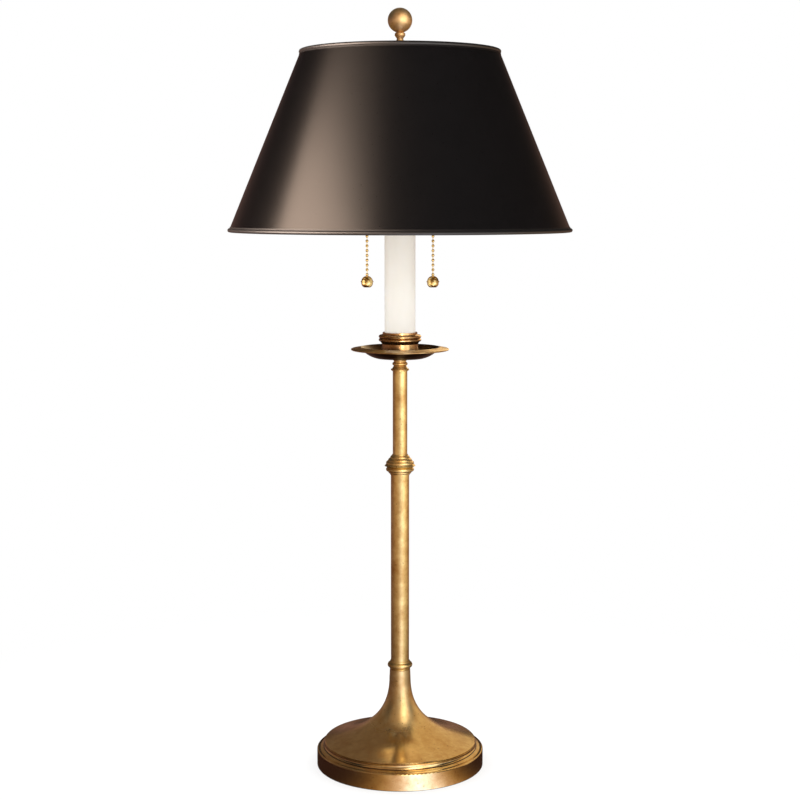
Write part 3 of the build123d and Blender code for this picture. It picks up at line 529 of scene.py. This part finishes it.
# %% Finish: painted cast iron
material, tree, shader, place = start_finish("iron_cast_painted", {"Roughness": 0.6})
sand_size, sand_depth = 1.6, 0.4
sand = add(tree, "ShaderNodeTexNoise", inputs={
    "Vector": place, "Scale": per_metre(sand_size), "Detail": 5.0})
colour = add(tree, "ShaderNodeMix", {"data_type": "RGBA"}, {
    0: sand.outputs["Fac"], 6: linear("#171615"), 7: linear("#33302D")})
bump = add(tree, "ShaderNodeBump", inputs={
    "Strength": 0.6, "Distance": sand_depth * MM, "Height": sand.outputs["Fac"]})
tree.links.new(colour.outputs[2], shader.inputs["Base Color"])
tree.links.new(bump.outputs[0], shader.inputs["Normal"])
finishes["iron"] = material
print("made", material.name)

# %% [markdown]
# ## Wool felt
# The pad under the base is pressed wool felt. Felt is fluffy, so light catches its fibre ends at
# grazing angles, which the sheen socket gives. The fibres are finer than a pixel and are drawn at
# about a millimetre so that they still show. Strands of hair could stand for them, but they would
# be heavy for a face that looks at the table.

# %% Finish: pressed wool felt
material, tree, shader, place = start_finish("wool_felt_pressed", {
    "Roughness": 0.95, "Specular IOR Level": 0.2, "Sheen Weight": 0.4, "Sheen Roughness": 0.6})
fibre_size, fibre_depth, tuft_size = 1.0, 0.4, 6.0
fibre = add(tree, "ShaderNodeTexNoise", inputs={
    "Vector": place, "Scale": per_metre(fibre_size), "Detail": 6.0, "Distortion": 2.0})
tuft = add(tree, "ShaderNodeTexNoise", inputs={
    "Vector": place, "Scale": per_metre(tuft_size), "Detail": 2.0})
mixed = add(tree, "ShaderNodeMath", {"operation": "MULTIPLY"}, {
    0: fibre.outputs["Fac"], 1: tuft.outputs["Fac"]})
spread = add(tree, "ShaderNodeMapRange", inputs={
    "Value": mixed.outputs[0], "From Min": 0.12, "From Max": 0.42})
colour = add(tree, "ShaderNodeMix", {"data_type": "RGBA"}, {
    0: spread.outputs[0], 6: linear("#16241C"), 7: linear("#35493B")})
bump = add(tree, "ShaderNodeBump", inputs={
    "Strength": 0.7, "Distance": fibre_depth * MM, "Height": fibre.outputs["Fac"]})
tree.links.new(colour.outputs[2], shader.inputs["Base Color"])
tree.links.new(bump.outputs[0], shader.inputs["Normal"])
finishes["felt"] = material
print("made", material.name)

# %% [markdown]
# ## The candle sleeve
# The sleeve is an ivory moulded tube that stands for a wax candle: satin, slightly warm, with the
# faint clouds and shallow dimples of a moulding. A little light goes into it, as into wax. More
# would make it glow, which thin moulding doesn't, so the subsurface weight is small.

# %% Finish: moulded ivory candle tube
material, tree, shader, place = start_finish("candle_tube_ivory_moulded", {
    "IOR": 1.46, "Subsurface Weight": 0.05, "Subsurface Radius": (0.004, 0.003, 0.002)})
cloud_size, dimple_size, dimple_depth = 22.0, 3.5, 0.1
clouds = add(tree, "ShaderNodeTexNoise", inputs={
    "Vector": place, "Scale": per_metre(cloud_size), "Detail": 3.0})
colour = add(tree, "ShaderNodeMix", {"data_type": "RGBA"}, {
    0: clouds.outputs["Fac"], 6: linear("#F8F5EE"), 7: linear("#F3EFE5")})
dimple = add(tree, "ShaderNodeTexNoise", inputs={
    "Vector": place, "Scale": per_metre(dimple_size), "Detail": 2.0})
rough = add(tree, "ShaderNodeMapRange", inputs={
    "Value": dimple.outputs["Fac"], "To Min": 0.32, "To Max": 0.5})
bump = add(tree, "ShaderNodeBump", inputs={
    "Strength": 0.15, "Distance": dimple_depth * MM, "Height": dimple.outputs["Fac"]})
tree.links.new(colour.outputs[2], shader.inputs["Base Color"])
tree.links.new(rough.outputs[0], shader.inputs["Roughness"])
tree.links.new(bump.outputs[0], shader.inputs["Normal"])
finishes["candle_white"] = material
print("made", material.name)

# %% [markdown]
# ## Black shade paper
# The shade is card covered in coated black paper. The coat gives a soft sheen, and the paper's
# grain breaks it up a very little. Its IOR is higher than a plain varnish has, for a burnished
# coat, so that the sheen needs no harsher lamp. Real grain is a few tenths of a millimetre, and it
# is drawn near a millimetre so that it shows close up. A stronger bump would look like leather.
# The folded tape at both edges is the same paper, creased and duller.

# %% Finish: coated black paper and its tape
def black_paper(name, dark, light, smooth, dull, depth):
    """Coated paper with short fibres and a soft sheen."""
    material, tree, shader, place = start_finish(name, {"IOR": 1.9})
    grain_size, cloud_size, grain_stretch = 1.1, 18.0, 0.35
    longways = add(tree, "ShaderNodeVectorMath", {"operation": "MULTIPLY"}, {
        0: place, 1: (1, 1, grain_stretch)})
    grain = add(tree, "ShaderNodeTexNoise", inputs={
        "Vector": longways.outputs[0], "Scale": per_metre(grain_size), "Detail": 4.0})
    clouds = add(tree, "ShaderNodeTexNoise", inputs={
        "Vector": place, "Scale": per_metre(cloud_size), "Detail": 3.0})
    mixed = add(tree, "ShaderNodeMath", {"operation": "MULTIPLY"}, {
        0: grain.outputs["Fac"], 1: clouds.outputs["Fac"]})
    spread = add(tree, "ShaderNodeMapRange", inputs={
        "Value": mixed.outputs[0], "From Min": 0.12, "From Max": 0.4})
    colour = add(tree, "ShaderNodeMix", {"data_type": "RGBA"}, {
        0: spread.outputs[0], 6: linear(dark), 7: linear(light)})
    rough = add(tree, "ShaderNodeMapRange", inputs={
        "Value": grain.outputs["Fac"], "To Min": smooth, "To Max": dull})
    bump = add(tree, "ShaderNodeBump", inputs={
        "Strength": 0.045, "Distance": depth * MM, "Height": grain.outputs["Fac"]})
    tree.links.new(colour.outputs[2], shader.inputs["Base Color"])
    tree.links.new(rough.outputs[0], shader.inputs["Roughness"])
    tree.links.new(bump.outputs[0], shader.inputs["Normal"])
    return material


finishes["shade_black"] = black_paper(
    "paper_black_coated", "#050203", "#090506", smooth=0.26, dull=0.31, depth=0.1)
finishes["hem_black"] = black_paper(
    "paper_tape_black_folded", "#060404", "#0C0909", smooth=0.4, dull=0.5, depth=0.2)
print("made", [finishes[slot].name for slot in ("shade_black", "hem_black")])

# %% [markdown]
# ## Gold lining
# The inside of the shade is lined with gold foil paper, which throws warm light down. Foil on paper
# crinkles, so its bump is coarser than the paper's own grain. Plain gold would mirror the bulbs
# too sharply, so the shader is only partly metallic, as printed foil is.

# %% Finish: gold foil paper
material, tree, shader, place = start_finish("paper_gold_foil", {"Metallic": 0.75})
crinkle_size, crinkle_depth, fade_size = 4.0, 0.3, 30.0
crinkle = add(tree, "ShaderNodeTexNoise", inputs={
    "Vector": place, "Scale": per_metre(crinkle_size), "Detail": 5.0, "Distortion": 0.6})
faded = add(tree, "ShaderNodeTexNoise", inputs={
    "Vector": place, "Scale": per_metre(fade_size), "Detail": 3.0})
colour = add(tree, "ShaderNodeMix", {"data_type": "RGBA"}, {
    0: faded.outputs["Fac"], 6: linear("#D9B465"), 7: linear("#B98D42")})
rough = add(tree, "ShaderNodeMapRange", inputs={
    "Value": crinkle.outputs["Fac"], "To Min": 0.35, "To Max": 0.55})
bump = add(tree, "ShaderNodeBump", inputs={
    "Strength": 0.3, "Distance": crinkle_depth * MM, "Height": crinkle.outputs["Fac"]})
tree.links.new(colour.outputs[2], shader.inputs["Base Color"])
tree.links.new(rough.outputs[0], shader.inputs["Roughness"])
tree.links.new(bump.outputs[0], shader.inputs["Normal"])
finishes["shade_gold"] = material
print("made", material.name)

# %% [markdown]
# ## Phenolic
# The switch body in each socket is moulded phenolic: black-brown, hard and a little shiny, with
# flakes of its wood filler. Fine noise in colour and shine draws the flakes. A bump isn't needed,
# because the mould was polished.

# %% Finish: moulded phenolic
material, tree, shader, place = start_finish("phenolic_black_moulded", {"IOR": 1.6})
flake_size = 1.5
flake = add(tree, "ShaderNodeTexNoise", inputs={
    "Vector": place, "Scale": per_metre(flake_size), "Detail": 4.0})
colour = add(tree, "ShaderNodeMix", {"data_type": "RGBA"}, {
    0: flake.outputs["Fac"], 6: linear("#151312"), 7: linear("#2A2522")})
rough = add(tree, "ShaderNodeMapRange", inputs={
    "Value": flake.outputs["Fac"], "To Min": 0.3, "To Max": 0.5})
tree.links.new(colour.outputs[2], shader.inputs["Base Color"])
tree.links.new(rough.outputs[0], shader.inputs["Roughness"])
finishes["black_plastic"] = material
print("made", material.name)

# %% [markdown]
# ## Card
# A liner of pressed card keeps the live screw shell from the brass outside. Card is dull, and its
# fibres lie in all directions, which a distorted noise draws. A woven pattern would look like
# cloth.

# %% Finish: pressed card
material, tree, shader, place = start_finish("card_pressed_brown", {
    "Roughness": 0.85, "Specular IOR Level": 0.3})
fibre_size, fibre_depth = 1.2, 0.1
fibre = add(tree, "ShaderNodeTexNoise", inputs={
    "Vector": place, "Scale": per_metre(fibre_size), "Detail": 6.0, "Distortion": 1.0})
colour = add(tree, "ShaderNodeMix", {"data_type": "RGBA"}, {
    0: fibre.outputs["Fac"], 6: linear("#6E4F30"), 7: linear("#A07C52")})
bump = add(tree, "ShaderNodeBump", inputs={
    "Strength": 0.4, "Distance": fibre_depth * MM, "Height": fibre.outputs["Fac"]})
tree.links.new(colour.outputs[2], shader.inputs["Base Color"])
tree.links.new(bump.outputs[0], shader.inputs["Normal"])
finishes["liner_card"] = material
print("made", material.name)

# %% [markdown]
# ## Aluminium
# The cap of a bulb is rolled from aluminium sheet and is scuffed by its socket. The scuffs run in
# no one direction, so distorted noise moves the colour and the shine together.

# %% Finish: rolled aluminium
material, tree, shader, place = start_finish("aluminium_rolled", {"Metallic": 1.0})
scuff_size = 2.0
scuff = add(tree, "ShaderNodeTexNoise", inputs={
    "Vector": place, "Scale": per_metre(scuff_size), "Detail": 4.0, "Distortion": 1.0})
colour = add(tree, "ShaderNodeMix", {"data_type": "RGBA"}, {
    0: scuff.outputs["Fac"], 6: linear("#DADADA"), 7: linear("#B4B4B6")})
rough = add(tree, "ShaderNodeMapRange", inputs={
    "Value": scuff.outputs["Fac"], "To Min": 0.2, "To Max": 0.4})
tree.links.new(colour.outputs[2], shader.inputs["Base Color"])
tree.links.new(rough.outputs[0], shader.inputs["Roughness"])
finishes["bulb_metal"] = material
print("made", material.name)

# %% [markdown]
# ## Glass
# The glass of a bulb is frosted inside, so that it scatters light instead of showing what is behind
# it. A clear glass with a second rough skin inside would be the real thing. One skin that lets
# through about half of the light and is rough looks the same from outside.

# %% Finish: frosted glass
material, tree, shader, place = start_finish("glass_frosted_soft_white", {
    "IOR": 1.5, "Transmission Weight": 0.45})
frost_size, haze_size = 1.4, 20.0
frost = add(tree, "ShaderNodeTexNoise", inputs={
    "Vector": place, "Scale": per_metre(frost_size), "Detail": 3.0})
haze = add(tree, "ShaderNodeTexNoise", inputs={
    "Vector": place, "Scale": per_metre(haze_size), "Detail": 2.0})
colour = add(tree, "ShaderNodeMix", {"data_type": "RGBA"}, {
    0: haze.outputs["Fac"], 6: linear("#FBFAF6"), 7: linear("#F0EEE6")})
rough = add(tree, "ShaderNodeMapRange", inputs={
    "Value": frost.outputs["Fac"], "To Min": 0.25, "To Max": 0.4})
tree.links.new(colour.outputs[2], shader.inputs["Base Color"])
tree.links.new(rough.outputs[0], shader.inputs["Roughness"])
finishes["frosted_glass"] = material
print("made", material.name)

# %% [markdown]
# ## Dress the solids
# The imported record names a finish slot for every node. The nodes keep their meshes, and only the
# material in their slot is changed. The list of slots is read instead of being typed again, so a
# node can't be forgotten. A few turned pieces have a brass mix of their own.

# %% Finishes on the nodes
for part in frame["record"]["subparts"]:
    node = frame["nodes"][part["node"]]
    for holder in node.material_slots:
        holder.material = own_finishes.get(part["node"], finishes[part["material_slot"]])

# %% [markdown]
# ## Small pieces
# The pieces below are shaped by a few modifiers each, one after the other. One function adds them,
# sets them and applies them, so that each piece ends as plain mesh.

# %% Modifier helper
def shape(piece, steps):
    """Adds these modifiers to the active piece with their settings, and applies each in turn."""
    for kind, settings in steps:
        modifier = piece.modifiers.new(kind.lower(), kind)
        for name, value in settings.items():
            setattr(modifier, name, value)
        bpy.ops.object.modifier_apply(modifier=modifier.name)


# %% [markdown]
# ## Felt under the base
# The solid model has a plain disc for the felt. A real pad is a cut sheet: its edge is soft, and
# its faces are a little uneven where the glue took. A circle is filled, inset into rings so that
# there is something to bend, ruffled by a cloud texture, given its thickness and rounded along the
# edge. A cloth simulation would add nothing, because the felt lies flat between base and table.

# %% Felt pad
felt_low, felt_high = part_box("felt_pad")
felt_radius = felt_high.x
felt_thickness = felt_high.z - felt_low.z
felt_corners, felt_rings, ruffle_size = 96, 10, 20 * MM
soft_edge = math.radians(40)
bpy.ops.object.select_all(action="DESELECT")
bpy.ops.mesh.primitive_circle_add(
    vertices=felt_corners, radius=felt_radius, fill_type="NGON", location=(0, 0, felt_high.z / 2))
felt = bpy.context.object
felt.name = "felt_sheet"
bpy.ops.object.transform_apply(location=True, rotation=True, scale=True)
bpy.ops.object.mode_set(mode="EDIT")
bpy.ops.mesh.select_all(action="SELECT")
for _ in range(felt_rings):
    bpy.ops.mesh.inset(thickness=felt_radius / (felt_rings + 1))
bpy.ops.mesh.poke()
bpy.ops.object.mode_set(mode="OBJECT")
ruffle = bpy.data.textures.new("felt_ruffle", "CLOUDS")
ruffle.noise_scale = ruffle_size
shape(felt, (
    ("DISPLACE", {"texture": ruffle, "strength": 0.25 * felt_thickness, "direction": "Z"}),
    ("SOLIDIFY", {"thickness": 0.75 * felt_thickness, "offset": 0}),
    ("BEVEL", {"width": 0.25 * felt_thickness, "segments": 2, "limit_method": "ANGLE"}),
))
bpy.ops.object.shade_smooth_by_angle(angle=soft_edge)
felt.data.materials.append(finishes["felt"])
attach(felt, "lamp_body")
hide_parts("felt_pad")
print("felt:", len(felt.data.polygons), "faces")

# %% [markdown]
# ## The shade's seam
# A cone shade is one flat sheet of card, rolled until its ends lap, and glued. The lap is turned to
# the back, and shows as a strip that stands one paper higher than the rest, between the two tapes.
# A narrow plane is laid on the slope there, cut into a grid, pressed onto the cone with a
# shrinkwrap and given the paper's thickness, so that its long edges catch the light. A line drawn
# by the paper's finish would have no edge to do that.

# %% Seam strip
seam_width, seam_thickness, seam_gap, tape_cover = 12 * MM, 0.4 * MM, 0.05 * MM, 4 * MM
seam_cuts = 24
slope_foot, slope_head = Vector((0, 182.0, 590.7)) * MM, Vector((0, 104.9, 777.9)) * MM
slope = slope_head - slope_foot
outwards = Vector((0, slope.z, -slope.y)).normalized() * MM
bpy.ops.object.select_all(action="DESELECT")
bpy.ops.mesh.primitive_plane_add(
    size=1, location=(slope_foot + slope_head) / 2 + outwards,
    rotation=(math.atan2(-slope.z, -slope.y), 0, 0))
seam = bpy.context.object
seam.name = "shade_seam"
seam.scale = (seam_width, slope.length - 2 * tape_cover, 1)
bpy.ops.object.transform_apply(location=True, rotation=True, scale=True)
bpy.ops.object.mode_set(mode="EDIT")
bpy.ops.mesh.select_all(action="SELECT")
bpy.ops.mesh.subdivide(number_cuts=seam_cuts)
bpy.ops.object.mode_set(mode="OBJECT")
shape(seam, (
    ("SHRINKWRAP", {"target": frame["nodes"]["shade_paper"], "wrap_mode": "ABOVE_SURFACE",
                    "offset": seam_gap}),
    ("SOLIDIFY", {"thickness": seam_thickness, "offset": 1}),
    ("BEVEL", {"width": 0.3 * seam_thickness, "segments": 2, "limit_method": "ANGLE"}),
))
bpy.ops.object.shade_smooth_by_angle(angle=soft_edge)
seam.data.materials.append(finishes["shade_black"])
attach(seam, "shade_body")
paper.objects.link(seam)
print("seam:", len(seam.data.polygons), "faces")

# %% [markdown]
# ## Set screws
# A socket's cap is screwed onto its nipple and kept from turning by a small screw in its hub. Each
# is a short cylinder whose outer rim is rounded with a bevel, and a thin bar is taken away from its
# end to leave the driver's slot. Only the head shows, so the screw has no thread.

# %% Set screws in the socket caps
screw_radius, screw_length, screw_sink = 1.7 * MM, 1.8 * MM, 0.5 * MM
slot_width, slot_depth, rim_round, screw_corners = 0.5 * MM, 0.7 * MM, 0.25 * MM, 32
hard_edge = math.radians(35)
hub_radius, hub_place, socket_axis = 7.6 * MM, 14.1 * MM, 635.6 * MM
screw_end = -(hub_radius - screw_sink + screw_length)
for side, sign in (("left", -1), ("right", 1)):
    bpy.ops.object.select_all(action="DESELECT")
    bpy.ops.mesh.primitive_cube_add(size=1, location=(sign * hub_place, screw_end, socket_axis))
    bar = bpy.context.object
    bar.scale = (slot_width, 2 * slot_depth, 3 * screw_radius)
    bpy.ops.object.transform_apply(location=True, rotation=True, scale=True)
    bpy.ops.mesh.primitive_cylinder_add(
        vertices=screw_corners, radius=screw_radius, depth=screw_length,
        rotation=(math.pi / 2, 0, 0),
        location=(sign * hub_place, screw_end + screw_length / 2, socket_axis))
    screw = bpy.context.object
    screw.name = side + "_set_screw"
    bpy.ops.object.transform_apply(location=True, rotation=True, scale=True)
    shape(screw, (
        ("BEVEL", {"width": rim_round, "segments": 3, "limit_method": "ANGLE"}),
        ("BOOLEAN", {"object": bar, "operation": "DIFFERENCE", "solver": "EXACT"}),
    ))
    bpy.data.objects.remove(bar)
    bpy.ops.object.shade_smooth_by_angle(angle=hard_edge)
    screw.data.materials.append(finishes["steel"])
    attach(screw, "lamp_body")
    metal.objects.link(screw)
    print(screw.name, len(screw.data.polygons), "faces")

# %% [markdown]
# ## Screw threads
# A thread is a ridge that climbs as it goes round. A small circle stands on edge beside the axis,
# and the Screw modifier carries it round the axis and one pitch along it for each turn. Its two
# open ends are filled, so that the coil is closed. Rings without a pitch would be easier, but the
# eye sees at once that they don't climb.

# %% Thread coil
coil_corners, coil_steps, weld_distance = 12, 48, 0.001 * MM


def thread_coil(axis, centre, crest, wire, start, pitch, turns):
    """A closed coil round an axis through the centre, whose outside reaches the crest radius."""
    bpy.ops.object.select_all(action="DESELECT")
    bpy.ops.mesh.primitive_circle_add(
        vertices=coil_corners, radius=wire, location=centre, rotation=(math.pi / 2, 0, 0))
    coil = bpy.context.object
    bpy.ops.object.transform_apply(location=False, rotation=True, scale=True)
    beside = (start, 0, crest - wire) if axis == "X" else (crest - wire, 0, start)
    bpy.ops.object.mode_set(mode="EDIT")
    bpy.ops.mesh.select_all(action="SELECT")
    bpy.ops.transform.translate(value=beside)
    bpy.ops.object.mode_set(mode="OBJECT")
    shape(coil, (("SCREW", {
        "axis": axis, "screw_offset": pitch, "iterations": turns,
        "steps": coil_steps, "render_steps": coil_steps}),))
    bpy.ops.object.transform_apply(location=True, rotation=True, scale=True)
    bpy.ops.object.mode_set(mode="EDIT")
    bpy.ops.mesh.select_all(action="SELECT")
    bpy.ops.mesh.remove_doubles(threshold=weld_distance)
    bpy.ops.mesh.fill_holes(sides=0)
    bpy.ops.mesh.normals_make_consistent(inside=False)
    bpy.ops.object.mode_set(mode="OBJECT")
    return coil


# %% [markdown]
# ## Thread on the stud
# The finial screws onto a stud with 27 threads to the inch. It shows when the finial is lifted. The
# coil lies round the plain stud of the solid model and stays just inside the finial's bore, so
# nothing has to be cut.

# %% Thread on the stud
inch = 25.4 * MM
stud_place, stud_crest, stud_wire = Vector((0, 0, 773.8)) * MM, 3.2 * MM, 0.35 * MM
stud_pitch, stud_turns = inch / 27, 11
stud_thread = thread_coil("Z", stud_place, stud_crest, stud_wire, 0, stud_pitch, stud_turns)
stud_thread.name = "stud_thread"
bpy.ops.object.shade_smooth_by_angle(angle=soft_edge)
stud_thread.data.materials.append(finishes["socket_brass"])
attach(stud_thread, "lamp_body")
metal.objects.link(stud_thread)
print(stud_thread.name, len(stud_thread.data.polygons), "faces")

# %% [markdown]
# ## Bulb caps
# A bulb's cap is rolled from thin sheet, with a rounded thread of seven turns to the inch between a
# cone at the tip and a plain rim at the glass. A disc at the tip is drawn out along the bulb's axis
# section by section, and the thread is joined to it. Here the thread is part of the sheet, so the
# two are made one with a boolean instead of being left side by side.

# %% Threaded bulb caps
tip_radius, cone_radius, root_radius, rim_radius = 2.3 * MM, 4.6 * MM, 12.1 * MM, 12.95 * MM
sections = (
    (2.0 * MM, cone_radius), (3.2 * MM, root_radius), (13.8 * MM, root_radius),
    (0.8 * MM, rim_radius), (2.2 * MM, rim_radius))
thread_wire, thread_start, thread_pitch, thread_turns = 1.2 * MM, 7.6 * MM, inch / 7, 3
cap_corners, sliver_length, sliver_width = 64, 0.02 * MM, 0.01 * MM
for side, sign in (("left", -1), ("right", 1)):
    cap_low, cap_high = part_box(side + "_bulb_cap")
    tip = Vector((cap_low.x if sign > 0 else cap_high.x, 0, socket_axis))
    start = thread_start if sign > 0 else -thread_start - thread_turns * thread_pitch
    thread = thread_coil("X", tip, rim_radius, thread_wire, start, thread_pitch, thread_turns)
    bpy.ops.object.select_all(action="DESELECT")
    bpy.ops.mesh.primitive_circle_add(
        vertices=cap_corners, radius=tip_radius, fill_type="NGON", location=tip,
        rotation=(0, math.pi / 2, 0))
    cap = bpy.context.object
    cap.name = side + "_bulb_cap_threaded"
    bpy.ops.object.transform_apply(location=True, rotation=True, scale=True)
    bpy.ops.object.mode_set(mode="EDIT")
    bpy.ops.mesh.select_all(action="SELECT")
    place, radius = tip.x, tip_radius
    for step, next_radius in sections:
        bpy.ops.mesh.extrude_region_move(TRANSFORM_OT_translate={"value": (sign * step, 0, 0)})
        place += sign * step
        growth = next_radius / radius
        bpy.ops.transform.resize(
            value=(1, growth, growth), center_override=(place, 0, socket_axis))
        radius = next_radius
    bpy.ops.mesh.select_all(action="SELECT")
    bpy.ops.mesh.normals_make_consistent(inside=False)
    bpy.ops.object.mode_set(mode="OBJECT")
    shape(cap, (("BOOLEAN", {"object": thread, "operation": "UNION", "solver": "EXACT"}),))
    bpy.data.objects.remove(thread)
    bpy.ops.object.mode_set(mode="EDIT")
    bpy.ops.mesh.select_all(action="SELECT")
    bpy.ops.mesh.remove_doubles(threshold=sliver_length)
    bpy.ops.mesh.dissolve_degenerate(threshold=sliver_width)
    bpy.ops.object.mode_set(mode="OBJECT")
    bpy.ops.object.shade_smooth_by_angle(angle=hard_edge)
    cap.data.materials.append(finishes["bulb_metal"])
    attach(cap, side + "_bulb")
    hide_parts(side + "_bulb_cap")
    metal.objects.link(cap)
    print(cap.name, len(cap.data.polygons), "faces")
